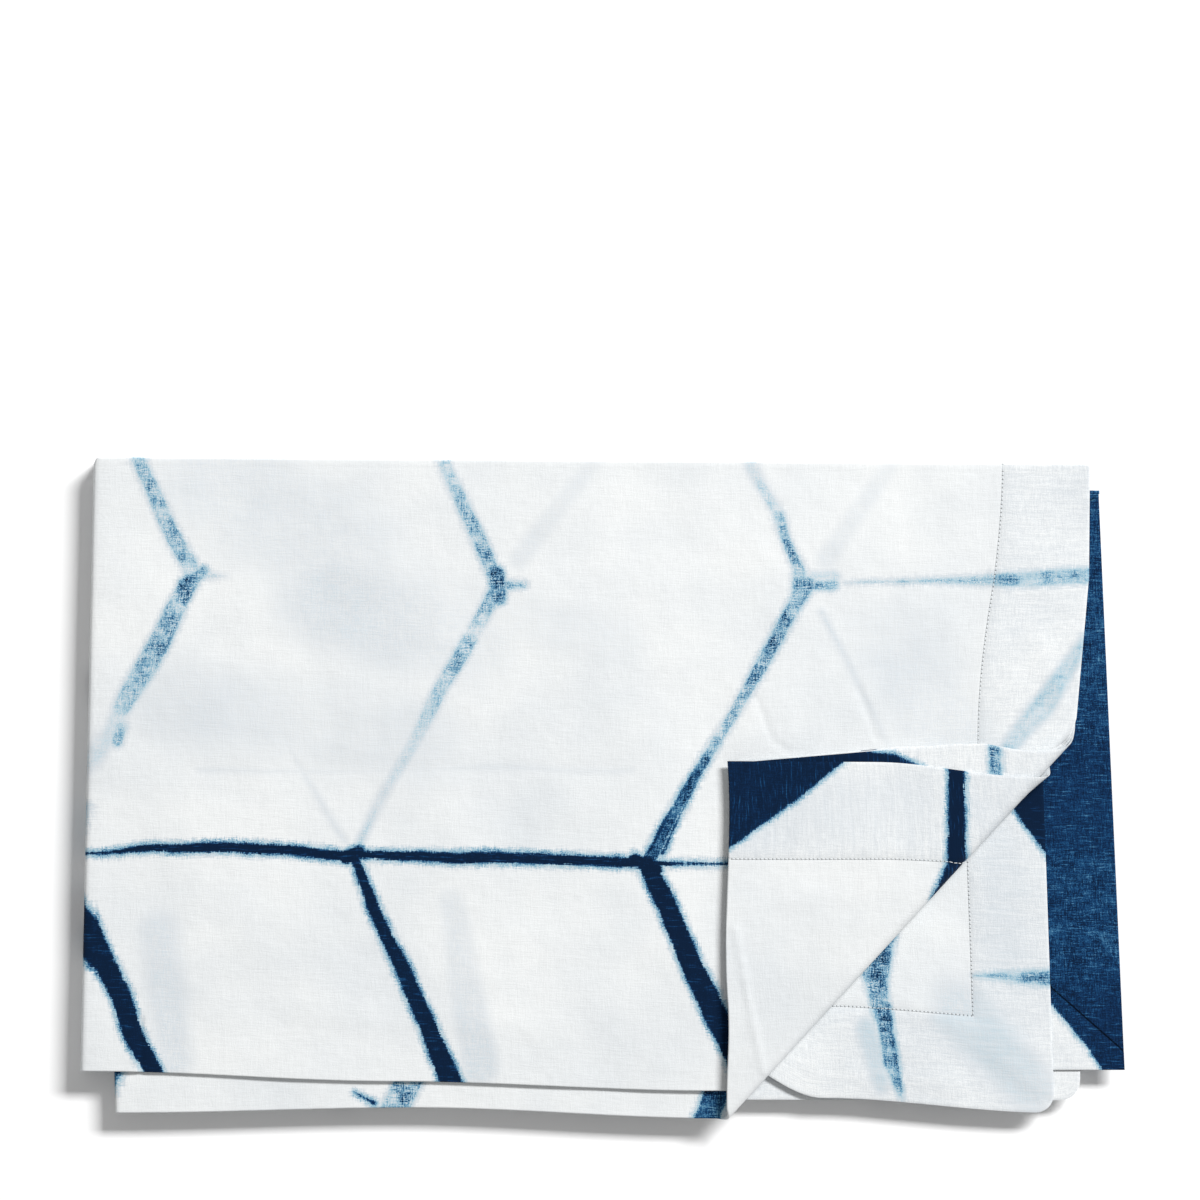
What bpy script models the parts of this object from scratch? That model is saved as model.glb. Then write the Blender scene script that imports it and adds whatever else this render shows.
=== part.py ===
# A shibori tablecloth, folded to sixteen leaves, with one corner of its four upper leaves turned back.
# Metres, Z up. It lies as in the photo: X to the right, Y to the top of the picture, leaf 1 uppermost.

import math

import bmesh
import bpy
from mathutils import Vector

# The cloth.
FLAT_LENGTH = 2.742
FLAT_WIDTH = 1.732
CLOTH = 0.001
LEAF_GAP = 0.00035
PITCH = CLOTH + LEAF_GAP
HEM_WIDTH = 0.068
CORNER_ROUND = 0.012
SHARP_CORNER_LEAF = 6

# Segments across one leaf between its hem or fold lines, and around each fold.
LENGTH_SEGMENTS = 7
WIDTH_SEGMENTS = 5
FIRST_FOLD_SEGMENTS = 4
SECOND_FOLD_SEGMENTS = 4
THIRD_FOLD_SEGMENTS = 6
LAST_FOLD_SEGMENTS = 7
BACK_FOLD_SEGMENTS = 7

# Where the middle of the folded cloth lies, from the corner of the leaves where the last fold and the first meet.
MIDDLE_X = 0.3423
MIDDLE_Y = 0.20824

# How far each leaf's edges lie from a plain rectangle, in millimetres, X to the right and Y upward in the picture.
# Leaves that a fold joins share the values along it, and a fold inside another stays inside it.
# left_foot and right_foot are the sides at the bottom, right_top the right side at the top.
# foot_0 to foot_4 are the bottom edge at the shares of its length in FOOT_AT.
LEFT_TOP = 3.8
FOOT_AT = (0.0, 0.3, 0.62, 0.75, 1.0)
LEAF_COLUMNS = (
    "leaf",
    "left_foot",
    "right_top",
    "right_foot",
    "top_left",
    "top_right",
    "foot_0",
    "foot_1",
    "foot_2",
    "foot_3",
    "foot_4",
)
LEAF_EDGES = (
    (1, -5.2, 0.0, -3.0, 0.7, -4.1, 14.2, 7.3, 0.8, 2.0, 10.0),
    (2, -5.2, -3.0, -3.0, -1.0, -7.0, 14.2, 7.3, 0.8, 2.0, 10.0),
    (3, 15.8, 6.9, -4.1, -4.0, -19.6, -14.6, -11.0, -18.5, -11.6, 1.5),
    (4, 15.8, -38.0, -2.4, -7.0, -26.0, -14.6, -11.0, -18.5, -11.6, 1.5),
    (5, 17.0, -38.0, -23.6, -7.0, -26.0, 3.4, 13.7, 30.0, -5.5, -15.8),
    (6, 18.0, 6.9, 24.7, -4.0, -19.6, 10.0, 11.0, 12.0, 13.0, 13.4),
    (7, 19.0, -3.0, -5.8, -1.0, -7.0, -3.0, -5.0, -7.0, -7.2, -7.5),
    (8, 20.0, 0.0, -14.0, 0.7, -4.1, 5.0, 5.0, 5.0, 5.0, 5.0),
    (9, 20.0, -8.0, -12.0, 0.7, -8.0, 5.0, 4.0, 3.0, 2.5, 2.0),
    (10, 19.0, -9.0, -13.0, -1.0, -8.0, -3.0, -1.0, 1.0, 2.0, 4.0),
    (11, 18.0, -9.0, -13.0, -4.0, -8.0, 10.0, 8.0, 6.0, 5.0, 4.0),
    (12, 17.0, -8.0, -12.0, -7.0, -8.0, 3.4, 3.0, 2.5, 2.0, 2.0),
    (13, 15.8, -8.0, -10.0, -7.0, -8.0, -14.6, -9.0, -5.0, -3.0, -2.0),
    (14, 15.8, -9.0, -10.0, -4.0, -8.0, -14.6, -9.0, -5.0, -3.0, -2.0),
    (15, -5.2, -9.0, -10.0, -1.0, -8.0, 14.2, 8.0, 3.0, 1.0, -2.0),
    (16, -5.2, -8.0, -10.0, 0.7, -8.0, 14.2, 8.0, 3.0, 1.0, -2.0),
)

# The slanting fold that turns the corner of the four upper leaves back, by the two ends of its outer edge.
BACK_LEAVES = 4
BACK_UPPER_END = (0.3134, 0.0214)
BACK_LOWER_END = (0.0880, -0.2246)
BACK_UPPER_RADIUS = 0.0044
BACK_LOWER_RADIUS = 0.0008
BACK_REST_RADIUS = 0.0006
# The turned corner settles from the fold down onto the leaf below: how far back, and the share settled there.
BACK_SETTLE = ((0.0, 0.0), (0.016, 0.14), (0.034, 0.5), (0.052, 0.86), (0.070, 1.0))

# Slow rises and hollows of the pile: how much of its height, and how many waves over the cloth.
WAVE_COLUMNS = ("share", "waves_x", "waves_y", "phase")
WAVES = (
    (0.012, 1.9, 0.9, 0.4),
    (0.009, 0.8, 2.1, 2.1),
)


def stack(leaves):
    """The thickness of this many leaves."""
    return leaves * PITCH - LEAF_GAP


def strip(leaves):
    """The length of cloth that the fold of a stack takes up."""
    return math.pi * (stack(leaves) + LEAF_GAP) / 2


FIRST_STRIP = strip(1)
SECOND_STRIP = strip(2)
THIRD_STRIP = strip(4)
LAST_STRIP = strip(8)
THIRD_CREASE = (FLAT_WIDTH + FIRST_STRIP) / 4
LAST_CREASE = -(FLAT_LENGTH + SECOND_STRIP) / 4
LEAF_LEFT = LAST_CREASE + LAST_STRIP / 2
LEAF_LENGTH = -SECOND_STRIP / 2 - LEAF_LEFT
LEAF_FOOT = FIRST_STRIP / 2
LEAF_WIDTH = THIRD_CREASE - THIRD_STRIP / 2 - LEAF_FOOT


def eased(share):
    """0 to 1 with a level start and end."""
    share = min(max(share, 0.0), 1.0)
    return share * share * (3 - 2 * share)


def mixed(start, end, share):
    return start + (end - start) * share


def turned_over(past, height, leaves):
    """Folds what lies past a crease up and back over a stack. past is the distance beyond the crease."""
    taken = strip(leaves)
    axis = stack(leaves) + LEAF_GAP / 2
    along = past + taken / 2
    if along <= 0:
        return past, height
    angle = math.pi * min(along / taken, 1.0)
    radius = axis - height
    back = max(along - taken, 0.0)
    return radius * math.sin(angle) - taken / 2 - back, axis - radius * math.cos(angle)


def folded(length, width, height):
    """A place on the flat cloth, wrong side up, taken through the four folds."""
    past, height = turned_over(-width, height, 1)
    y = -past
    x, height = turned_over(length, height, 2)
    past, height = turned_over(y - THIRD_CREASE, height, 4)
    y = THIRD_CREASE + past
    past, height = turned_over(LAST_CREASE - x, height, 8)
    return Vector((LAST_CREASE - past, y, height))


def leaf_at(length, width):
    """The number of the leaf that a place on the flat cloth lies in, counted from the top."""
    quarter = FLAT_LENGTH / 4
    column = min(int((length + FLAT_LENGTH / 2) / quarter), 3)
    row = min(int((width + FLAT_WIDTH / 2) / (FLAT_WIDTH / 4)), 3)
    middle_length = (column + 0.5) * quarter - FLAT_LENGTH / 2
    middle_width = (row + 0.5) * FLAT_WIDTH / 4 - FLAT_WIDTH / 2
    height = folded(middle_length, middle_width, CLOTH / 2).z
    return 16 - int(height / PITCH)


def foot_offset(edges, share):
    """The offset of a leaf's bottom edge, eased between the five stations."""
    for index in range(len(FOOT_AT) - 1):
        if share <= FOOT_AT[index + 1] or index == len(FOOT_AT) - 2:
            within = (share - FOOT_AT[index]) / (FOOT_AT[index + 1] - FOOT_AT[index])
            return mixed(edges[f"foot_{index}"], edges[f"foot_{index + 1}"], eased(within))


def edge_offset(place, edges):
    """How far a place is moved in its leaf, so that the leaf's edges lie where the table puts them."""
    across = min(max((place.x - LEAF_LEFT) / LEAF_LENGTH, 0.0), 1.0)
    down = min(max(1 - (place.y - LEAF_FOOT) / LEAF_WIDTH, 0.0), 1.0)
    left = mixed(LEFT_TOP, edges["left_foot"], down)
    right = mixed(edges["right_top"], edges["right_foot"], down)
    top = mixed(edges["top_left"], edges["top_right"], across)
    foot = foot_offset(edges, across)
    return Vector((mixed(left, right, across), mixed(top, foot, down), 0.0)) / 1000


def back_fold_frame():
    """The slanting fold's start, its direction along, its direction outward, and its length."""
    upper = Vector(BACK_UPPER_END)
    lower = Vector(BACK_LOWER_END)
    along = (lower - upper).normalized()
    return upper, along, Vector((-along.y, along.x)), (lower - upper).length


def back_fold_at(share):
    """The slanting fold's inner radius, and how far inside its outer edge the cloth starts to bend."""
    radius = mixed(BACK_UPPER_RADIUS, BACK_LOWER_RADIUS, share)
    return radius, -radius - stack(BACK_LEAVES)


def settled_share(back):
    """How much of its rise the turned corner has lost this far back from the fold."""
    for near, far in zip(BACK_SETTLE, BACK_SETTLE[1:]):
        if back <= far[0]:
            return mixed(near[1], far[1], (back - near[0]) / (far[0] - near[0]))
    return 1.0


def turned_back(place):
    """Folds the corner past the slanting fold up and over the top leaf."""
    upper, along, outward, length = back_fold_frame()
    flat = Vector((place.x, place.y))
    share = (flat - upper).dot(along) / length
    radius, start = back_fold_at(share)
    past = (flat - upper).dot(outward) - start
    if past <= 0:
        return place
    taken = math.pi * (radius + stack(BACK_LEAVES) / 2)
    axis = stack(16) + radius
    angle = math.pi * min(past / taken, 1.0)
    reach = axis - place.z
    back = max(past - taken, 0.0)
    new_past = start + reach * math.sin(angle) - back
    settled = 2 * (radius - BACK_REST_RADIUS) * settled_share(back)
    new_flat = flat + outward * (new_past - (past + start))
    return Vector((new_flat.x, new_flat.y, axis - reach * math.cos(angle) - settled))


def waved(place):
    """Raises and lowers the pile a little, its underside staying level."""
    share = 1.0
    for row in WAVES:
        wave = dict(zip(WAVE_COLUMNS, row))
        run = wave["waves_x"] * place.x + wave["waves_y"] * place.y
        share += wave["share"] * math.sin(2 * math.pi * run + wave["phase"])
    return Vector((place.x, place.y, place.z * share))


def cut(body, faces, point, normal):
    """Cuts the faces along a plane, keeping both sides joined."""
    edges = {edge for face in faces for edge in face.edges}
    points = {vert for face in faces for vert in face.verts}
    bmesh.ops.bisect_plane(
        body,
        geom=list(faces) + list(edges) + list(points),
        plane_co=point,
        plane_no=normal,
        dist=1e-6,
    )


def fold_stations(crease, taken, segments):
    return [crease - taken / 2 + taken * index / segments for index in range(segments + 1)]


def between(start, end, segments):
    return [mixed(start, end, index / segments) for index in range(1, segments)]


def length_stations():
    """Where the flat cloth is cut across its length: fold strips, hem lines and even steps between."""
    end = FLAT_LENGTH / 2
    inner = -SECOND_STRIP / 2
    stations = fold_stations(0.0, SECOND_STRIP, SECOND_FOLD_SEGMENTS)
    stations += fold_stations(LAST_CREASE, LAST_STRIP, LAST_FOLD_SEGMENTS)
    stations += between(LAST_CREASE + LAST_STRIP / 2, inner, LENGTH_SEGMENTS)
    stations += between(-end + HEM_WIDTH, LAST_CREASE - LAST_STRIP / 2, LENGTH_SEGMENTS)
    stations += [-end + HEM_WIDTH, -end + CORNER_ROUND]
    return sorted(set(stations) | {-station for station in stations})


def width_stations():
    """Where the flat cloth is cut across its width."""
    end = FLAT_WIDTH / 2
    outer = THIRD_CREASE + THIRD_STRIP / 2
    stations = fold_stations(0.0, FIRST_STRIP, FIRST_FOLD_SEGMENTS)
    stations += fold_stations(THIRD_CREASE, THIRD_STRIP, THIRD_FOLD_SEGMENTS)
    stations += between(FIRST_STRIP / 2, THIRD_CREASE - THIRD_STRIP / 2, WIDTH_SEGMENTS)
    stations += between(outer, end - HEM_WIDTH, WIDTH_SEGMENTS)
    stations += [end - HEM_WIDTH, end - CORNER_ROUND]
    return sorted(set(stations) | {-station for station in stations})


def flat_cloth():
    """The cloth as one flat slab with its wrong side up, cut where it will bend."""
    body = bmesh.new()
    bmesh.ops.create_cube(body, size=1.0)
    bmesh.ops.scale(body, vec=(FLAT_LENGTH, FLAT_WIDTH, CLOTH), verts=body.verts)
    bmesh.ops.translate(body, vec=(0.0, 0.0, CLOTH / 2), verts=body.verts)
    for station in length_stations():
        cut(body, body.faces[:], (station, 0.0, 0.0), (1.0, 0.0, 0.0))
    for station in width_stations():
        cut(body, body.faces[:], (0.0, station, 0.0), (0.0, 1.0, 0.0))
    return body


def round_corners(body):
    """Draws the free corners of the cloth in a little, but for the one that stays sharp."""
    for vert in body.verts:
        past_length = abs(vert.co.x) - (FLAT_LENGTH / 2 - CORNER_ROUND)
        past_width = abs(vert.co.y) - (FLAT_WIDTH / 2 - CORNER_ROUND)
        sharp = leaf_at(vert.co.x, vert.co.y) == SHARP_CORNER_LEAF
        if min(past_length, past_width) > CORNER_ROUND / 2 and not sharp:
            drawn_in = CORNER_ROUND * (1 - math.sqrt(0.5))
            vert.co.x -= math.copysign(drawn_in, vert.co.x)
            vert.co.y -= math.copysign(drawn_in, vert.co.y)


def fold_cloth(body):
    """Folds the flat cloth into its sixteen leaves."""
    table = {row[0]: dict(zip(LEAF_COLUMNS, row)) for row in LEAF_EDGES}
    for vert in body.verts:
        edges = table[leaf_at(vert.co.x, vert.co.y)]
        place = folded(*vert.co)
        vert.co = place + edge_offset(place, edges) - Vector((LEAF_LEFT + MIDDLE_X, MIDDLE_Y, 0.0))


def turn_corner_back(body):
    """Cuts the four upper leaves along the slanting fold and turns their corner over."""
    upper, along, outward, length = back_fold_frame()
    level = stack(16 - BACK_LEAVES) + LEAF_GAP / 2
    bends = [(index / BACK_FOLD_SEGMENTS, 0.0) for index in range(BACK_FOLD_SEGMENTS)]
    bends += [(1.0, back) for back, _ in BACK_SETTLE]
    for around, back in bends:
        ends = []
        for share in (0.0, 1.0):
            radius, start = back_fold_at(share)
            past = start + math.pi * (radius + stack(BACK_LEAVES) / 2) * around + back
            ends.append(upper + along * length * share + outward * past)
        line = ends[1] - ends[0]
        upper_faces = [
            face
            for face in body.faces
            if min(vert.co.z for vert in face.verts) > level and max(vert.co.x for vert in face.verts) > 0
        ]
        cut(body, upper_faces, (*ends[0], 0.0), (line.y, -line.x, 0.0))
    for vert in body.verts:
        if vert.co.z > level:
            vert.co = turned_back(vert.co)


def tablecloth():
    body = flat_cloth()
    round_corners(body)
    fold_cloth(body)
    turn_corner_back(body)
    for vert in body.verts:
        vert.co = waved(vert.co)
    bmesh.ops.triangulate(body, faces=body.faces[:])
    bmesh.ops.recalc_face_normals(body, faces=body.faces[:])
    mesh = bpy.data.meshes.new("tablecloth")
    body.to_mesh(mesh)
    body.free()
    return bpy.data.objects.new("tablecloth", mesh)


def linen():
    material = bpy.data.materials.new("linen")
    material.use_nodes = True
    surface = material.node_tree.nodes["Principled BSDF"]
    surface.inputs["Base Color"].default_value = (0.78, 0.80, 0.84, 1.0)
    surface.inputs["Roughness"].default_value = 0.85
    return material


for old in list(bpy.data.objects):
    bpy.data.objects.remove(old, do_unlink=True)

collection = bpy.data.collections.new("shibori_tablecloth")
bpy.context.scene.collection.children.link(collection)
cloth = tablecloth()
cloth.data.materials.append(linen())
collection.objects.link(cloth)
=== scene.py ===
# The looks of a folded shibori tablecloth: thin linen on the folds of its solid, sewn hems and indigo dye.
# Metres, Z up. X runs right and Y upward in the photograph, which looks straight down.

import math

import bmesh
import bpy
from mathutils import Matrix, Vector


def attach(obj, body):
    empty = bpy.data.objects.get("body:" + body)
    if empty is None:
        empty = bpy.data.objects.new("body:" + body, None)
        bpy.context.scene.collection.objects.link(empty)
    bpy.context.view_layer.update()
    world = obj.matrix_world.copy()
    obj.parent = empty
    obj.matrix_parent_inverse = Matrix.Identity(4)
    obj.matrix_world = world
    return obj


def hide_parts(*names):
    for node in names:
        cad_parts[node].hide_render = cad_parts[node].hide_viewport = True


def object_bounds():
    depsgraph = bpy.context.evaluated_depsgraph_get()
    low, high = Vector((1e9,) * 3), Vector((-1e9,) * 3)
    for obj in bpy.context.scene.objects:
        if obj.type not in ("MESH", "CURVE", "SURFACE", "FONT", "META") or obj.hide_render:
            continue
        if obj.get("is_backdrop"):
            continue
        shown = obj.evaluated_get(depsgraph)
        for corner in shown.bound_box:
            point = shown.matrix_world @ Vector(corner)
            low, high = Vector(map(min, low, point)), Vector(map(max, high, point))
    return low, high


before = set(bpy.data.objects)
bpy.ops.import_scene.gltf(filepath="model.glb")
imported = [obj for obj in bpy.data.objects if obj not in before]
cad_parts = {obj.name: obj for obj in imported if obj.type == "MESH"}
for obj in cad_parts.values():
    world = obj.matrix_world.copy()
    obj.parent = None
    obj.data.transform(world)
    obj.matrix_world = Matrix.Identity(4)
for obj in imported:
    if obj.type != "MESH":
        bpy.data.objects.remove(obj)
cad_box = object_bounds()

# The photograph: its size in pixels, the pixel over the cloth's middle, and the real size of one pixel.
PHOTO_SIDE = 1200
MIDDLE_PIXEL = (602.5, 788.0)
PIXEL = 0.000685
CAMERA_HEIGHT = 3.0
TOP_HEIGHT = 0.020

# The flat cloth and the folds, as the solid has them.
FLAT_LENGTH = 2.742
FLAT_WIDTH = 1.732
CLOTH = 0.001
LEAF_GAP = 0.00035
PITCH = CLOTH + LEAF_GAP
CORNER_ROUND = 0.014
SHARP_CORNER_LEAF = 6
MIDDLE_X = 0.3423
MIDDLE_Y = 0.20824

# The thin sheet and the hem's inner layer within one leaf's thickness, and the sewing. The inner layer stops
# short of the cloth's edge and of its mitres.
SHEET = 0.00055
SHEET_LEVEL = 0.00042
HEM_LAYER = 0.0004
HEM_LEVEL = 0.00094
HEM_WIDTH = 0.068
STITCH_INSET = 0.0025
STITCH_PITCH = 0.0029
STITCH_LENGTH = 0.0021
STITCH_RADIUS = 0.00028
SEW_DEPTH = 0.00022
SEW_HALF_WIDTH = 0.0014
HEM_RISE = 0.00035
HEM_RISE_OVER = 0.004
HEM_SHORT = 0.0003

# Grid steps on the flat cloth, with extra divisions beside a row of stitches, towards a free edge in shares
# of its rounded corner, and before a fold.
STEP = 0.02
BESIDE_ROW = (-0.006, -0.002, -0.0008, 0.0, 0.0008, 0.002, 0.006)
TO_EDGE = (1.0, 0.75, 0.5, 0.3, 0.15, 0.0)
BEFORE_FOLD = (0.005, 0.01)

# The leaves in view have finer steps, but leaves 4 and 5 only from this far before the slanting fold.
SEEN_LEAVES = (1, 4, 5)
SEEN_CUTS = 3
SEEN_MARGIN = 0.035

# The folds are pressed, squarer than half circles by this exponent, and divided at shares of their cloth.
PRESSED = 6.0
INNER_FOLD_SHARES = (0.0, 0.2, 0.3, 0.5, 0.7, 0.8, 1.0)
THIRD_FOLD_SHARES = (0.0, 0.19, 0.25, 0.31, 0.5, 0.69, 0.75, 0.81, 1.0)
LAST_FOLD_SHARES = (0.0, 0.14, 0.2, 0.24, 0.28, 0.35, 0.5, 0.65, 0.72, 0.76, 0.8, 0.86, 1.0)
BACK_FOLD_SEGMENTS = 14

# The pile's corner between its last two folds is blunted this far along its sides, by this share of an arc.
FOLD_CORNER = 0.006
FOLD_CORNER_SHARE = 0.8


def named(columns, table):
    """The rows of a table, with their values under the names of its columns."""
    return [dict(zip(columns, row)) for row in table]


# How far each leaf's edges lie from a plain rectangle, in millimetres, as in the solid. The bottom edge has
# five offsets, at these shares of the way across.
LEFT_TOP = 3.8
FOOT_AT = (0.0, 0.3, 0.62, 0.75, 1.0)
LEAF_COLUMNS = ("leaf", "left_foot", "right_top", "right_foot", "top_left", "top_right", "foot")
LEAF_EDGES = (
    (1, -5.2, 0, -3, 0.7, -4.1, (14.2, 7.3, 0.8, 2, 10)),
    (2, -5.2, -3, -3, -1, -7, (14.2, 7.3, 0.8, 2, 10)),
    (3, 15.8, 6.9, -4.1, -4, -19.6, (-14.6, -11, -18.5, -11.6, 1.5)),
    (4, 15.8, -38, -2.4, -7, -26, (-14.6, -11, -18.5, -11.6, 1.5)),
    (5, 17, -38, -23.6, -7, -26, (3.4, 13.7, 30, -5.5, -15.8)),
    (6, 18, 6.9, 24.7, -4, -19.6, (10, 11, 12, 13, 13.4)),
    (7, 19, -3, -5.8, -1, -7, (-3, -5, -7, -7.2, -7.5)),
    (8, 20, 0, -14, 0.7, -4.1, (5, 5, 5, 5, 5)),
    (9, 20, -8, -12, 0.7, -8, (5, 4, 3, 2.5, 2)),
    (10, 19, -9, -13, -1, -8, (-3, -1, 1, 2, 4)),
    (11, 18, -9, -13, -4, -8, (10, 8, 6, 5, 4)),
    (12, 17, -8, -12, -7, -8, (3.4, 3, 2.5, 2, 2)),
    (13, 15.8, -8, -10, -7, -8, (-14.6, -9, -5, -3, -2)),
    (14, 15.8, -9, -10, -4, -8, (-14.6, -9, -5, -3, -2)),
    (15, -5.2, -9, -10, -1, -8, (14.2, 8, 3, 1, -2)),
    (16, -5.2, -8, -10, 0.7, -8, (14.2, 8, 3, 1, -2)),
)
EDGES = {row["leaf"]: row for row in named(LEAF_COLUMNS, LEAF_EDGES)}

# The right edge of the upper leaves is drawn in where the slanting fold rolls them up: how far in millimetres
# and the shares of the way down where that begins, is most and ends. It fades over this share of the width.
PULL_ACROSS = 0.22
PULL_COLUMNS = ("leaf", "inward", "begins", "most", "ends")
PULLS = (
    (1, 11, 0.175, 0.5, 0.75),
    (2, 10.5, 0.175, 0.5, 0.75),
    (3, 10, 0.175, 0.48, 0.6),
    (4, 9, 0.3, 0.5, 0.75),
)
PULLED = {row["leaf"]: row for row in named(PULL_COLUMNS, PULLS)}

# The third leaf's right edge slips in under the top leaf just below its fold.
SLIPPED_LEAF = 3
SLIP = 9.0
SLIP_DEPTH = 0.014

# Where the row of stitches runs along the two short hems: its distance from the edge wanders as a long wave.
# The grid follows it in full this far to each side, and less and less over the next distance.
SHORT_ROWS = {
    1: {"distance": 0.0632, "swing": 0.006, "crest": 0.05, "half_wave": 0.7},
    -1: {"distance": 0.0655, "swing": 0.0055, "crest": 0.2655, "half_wave": 0.165},
}
FOLLOW_FULL = 0.008
FOLLOW_FADE = 0.035

# The mitre of one corner is cut this far up its short side.
SLANTED_MITRE = (1, -1)
MITRE_SHIFT = 0.014

# The top leaf swells and dips a little, in millimetres, and the pile rises and falls by shares of its height.
# Both are sums of waves, counted to the metre.
WAVE_COLUMNS = ("size", "waves_x", "waves_y", "phase")
SWELLS = (
    (0.16, 7, 2, 0.6),
    (0.14, -3, 8, 2.2),
    (0.09, 11, 9, 4),
    (0.06, -16, 12, 1.1),
)
WAVES = (
    (0.012, 1.9, 0.9, 0.4),
    (0.009, 0.8, 2.1, 2.1),
)

# The slanting fold, as in the solid, with how far the turned corner has settled at distances back from it.
# The outermost turned leaf gapes at the fold's upper end, down to this share of the fold.
BACK_LEAVES = 4
BACK_UPPER_END = (0.3134, 0.0214)
BACK_LOWER_END = (0.088, -0.2246)
BACK_UPPER_RADIUS = 0.0044
BACK_LOWER_RADIUS = 0.0008
BACK_REST_RADIUS = 0.0006
BACK_SETTLE = ((0.0, 0.0), (0.016, 0.14), (0.034, 0.5), (0.052, 0.86), (0.07, 1.0))
BACK_GAPE = 0.0035
BACK_GAPE_END = 0.12

# Creases listed one by one on the leaves in view, from and to a pixel of the photograph.
# A trough has a negative height. Sizes in millimetres.
CREASE_COLUMNS = ("leaf", "from_x", "from_y", "to_x", "to_y", "half_width", "height")
CREASES = (
    (1, 141, 1020, 142, 1075, 2.5, -0.55),
    (1, 756, 699, 773, 741, 3, -0.28),
    (1, 773, 741, 787, 750, 3, -0.28),
    (1, 859, 690, 876, 737, 3, -0.28),
    (1, 195, 769, 640, 768, 4, -0.25),
    (1, 860, 497, 560, 500, 4, 0.2),
    (1, 300, 1010, 560, 1030, 9, 0.35),
    (1, 1040, 640, 1060, 700, 6, 0.5),
    (4, 735, 929, 744, 976, 3.2, 0.38),
    (4, 744, 976, 750, 1010, 3.2, 0.45),
    (4, 750, 1010, 763, 1070, 3.2, 0.38),
    (4, 790, 900, 860, 890, 6, 0.3),
    (5, 905, 1005, 1030, 1050, 8, 0.5),
    (5, 960, 1030, 1040, 1085, 7, 0.45),
    (5, 850, 1075, 960, 1085, 6, 0.4),
)

# A crease up to this half width has finer steps within these many half widths of it.
NARROW_CREASE = 3.5
CREASE_REACHES = (2.8, 1.8)

# The triangle lattice of the dye on the top leaf: its nodes, as pixels of the photograph, in a row above the
# cloth's edge, an upper and a lower row, and a row below the edge.
NODES = {
    "A0": (74, 330), "A1": (381, 330), "A2": (700, 330), "A3": (986, 330),
    "U0": (194, 576), "U1": (499, 585), "U2": (808, 584), "U3": (1110, 576),
    "L0": (45, 856), "L1": (351, 856), "L2": (646, 862), "L3": (950, 867),
    "B1": (474, 1132), "B2": (770, 1132),
}

# Strokes along the lattice, from one node towards another: the shares of the way where each begins and ends,
# its widths there in millimetres and how strong the dye is there.
LATTICE = (
    ("U0", "A0", (0.0, 0.5, 11, 9.5, 0.4, 0.3)),
    ("U1", "A1", (0.0, 0.12, 10, 10, 0.34, 0.38), (0.12, 0.24, 10, 9.5, 0.4, 0.36)),
    ("U1", "A1", (0.24, 0.55, 9.5, 8.5, 0.33, 0.22)),
    ("U0", "L0", (0.0, 0.33, 12.5, 15.5, 0.42, 0.38), (0.33, 0.47, 15.5, 14, 0.36, 0.2)),
    ("U0", "L0", (0.47, 0.76, 12, 9, 0.14, 0.08)),
    ("U1", "L1", (0.0, 0.16, 11, 10.5, 0.4, 0.28), (0.2, 0.34, 10.5, 10.5, 0.37, 0.34)),
    ("U1", "L1", (0.34, 0.55, 10.5, 9.5, 0.3, 0.16), (0.55, 0.82, 9.5, 8, 0.16, 0.1)),
    ("U1", "L1", (0.82, 0.97, 7, 6, 0.12, 0.2)),
    ("U2", "L2", (0.0, 0.27, 10.5, 10, 0.4, 0.46), (0.27, 0.42, 10, 8.5, 0.44, 0.28)),
    ("U2", "L2", (0.42, 0.56, 8.5, 8, 0.27, 0.3), (0.56, 0.66, 7.6, 7, 0.5, 0.7)),
    ("U2", "L2", (0.66, 1.0, 7, 10, 0.72, 0.74)),
    ("U0", "U1", (0.0, 0.11, 7, 1.5, 0.4, 0.1)),
    ("U1", "U2", (0.0, 0.08, 6.5, 5, 0.46, 0.36)),
    ("U2", "U3", (0.12, 0.38, 0.6, 2.6, 0.28, 0.34), (0.38, 0.62, 2.6, 9.5, 0.3, 0.24)),
    ("U2", "U3", (0.62, 1.0, 9.5, 12.5, 0.25, 0.38), (0.3, 0.96, 1, 2.4, 0.48, 0.52)),
    ("L2", "L3", (0.0, 0.12, 6, 2.6, 1, 0.9), (0.12, 0.4, 2.6, 2.2, 0.9, 0.9)),
    ("L1", "B1", (0.0, 0.3, 6.5, 9.5, 1, 1), (0.3, 1.0, 9.5, 17, 1, 1)),
    ("L2", "B2", (0.0, 0.5, 12, 16, 1, 1), (0.5, 1.0, 16, 15, 1, 1)),
    ("U0", "A1", (0.15, 0.55, 10, 16, 0.05, 0.035)),
    ("U1", "A2", (0.1, 0.5, 14, 10, 0.05, 0.035)),
    ("U2", "A3", (0.1, 0.5, 14, 10, 0.05, 0.04)),
    ("U0", "L1", (0.45, 0.95, 5, 4, 0.035, 0.09)),
    ("U2", "L3", (0.1, 0.6, 4, 4, 0.1, 0.03)),
)
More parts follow.
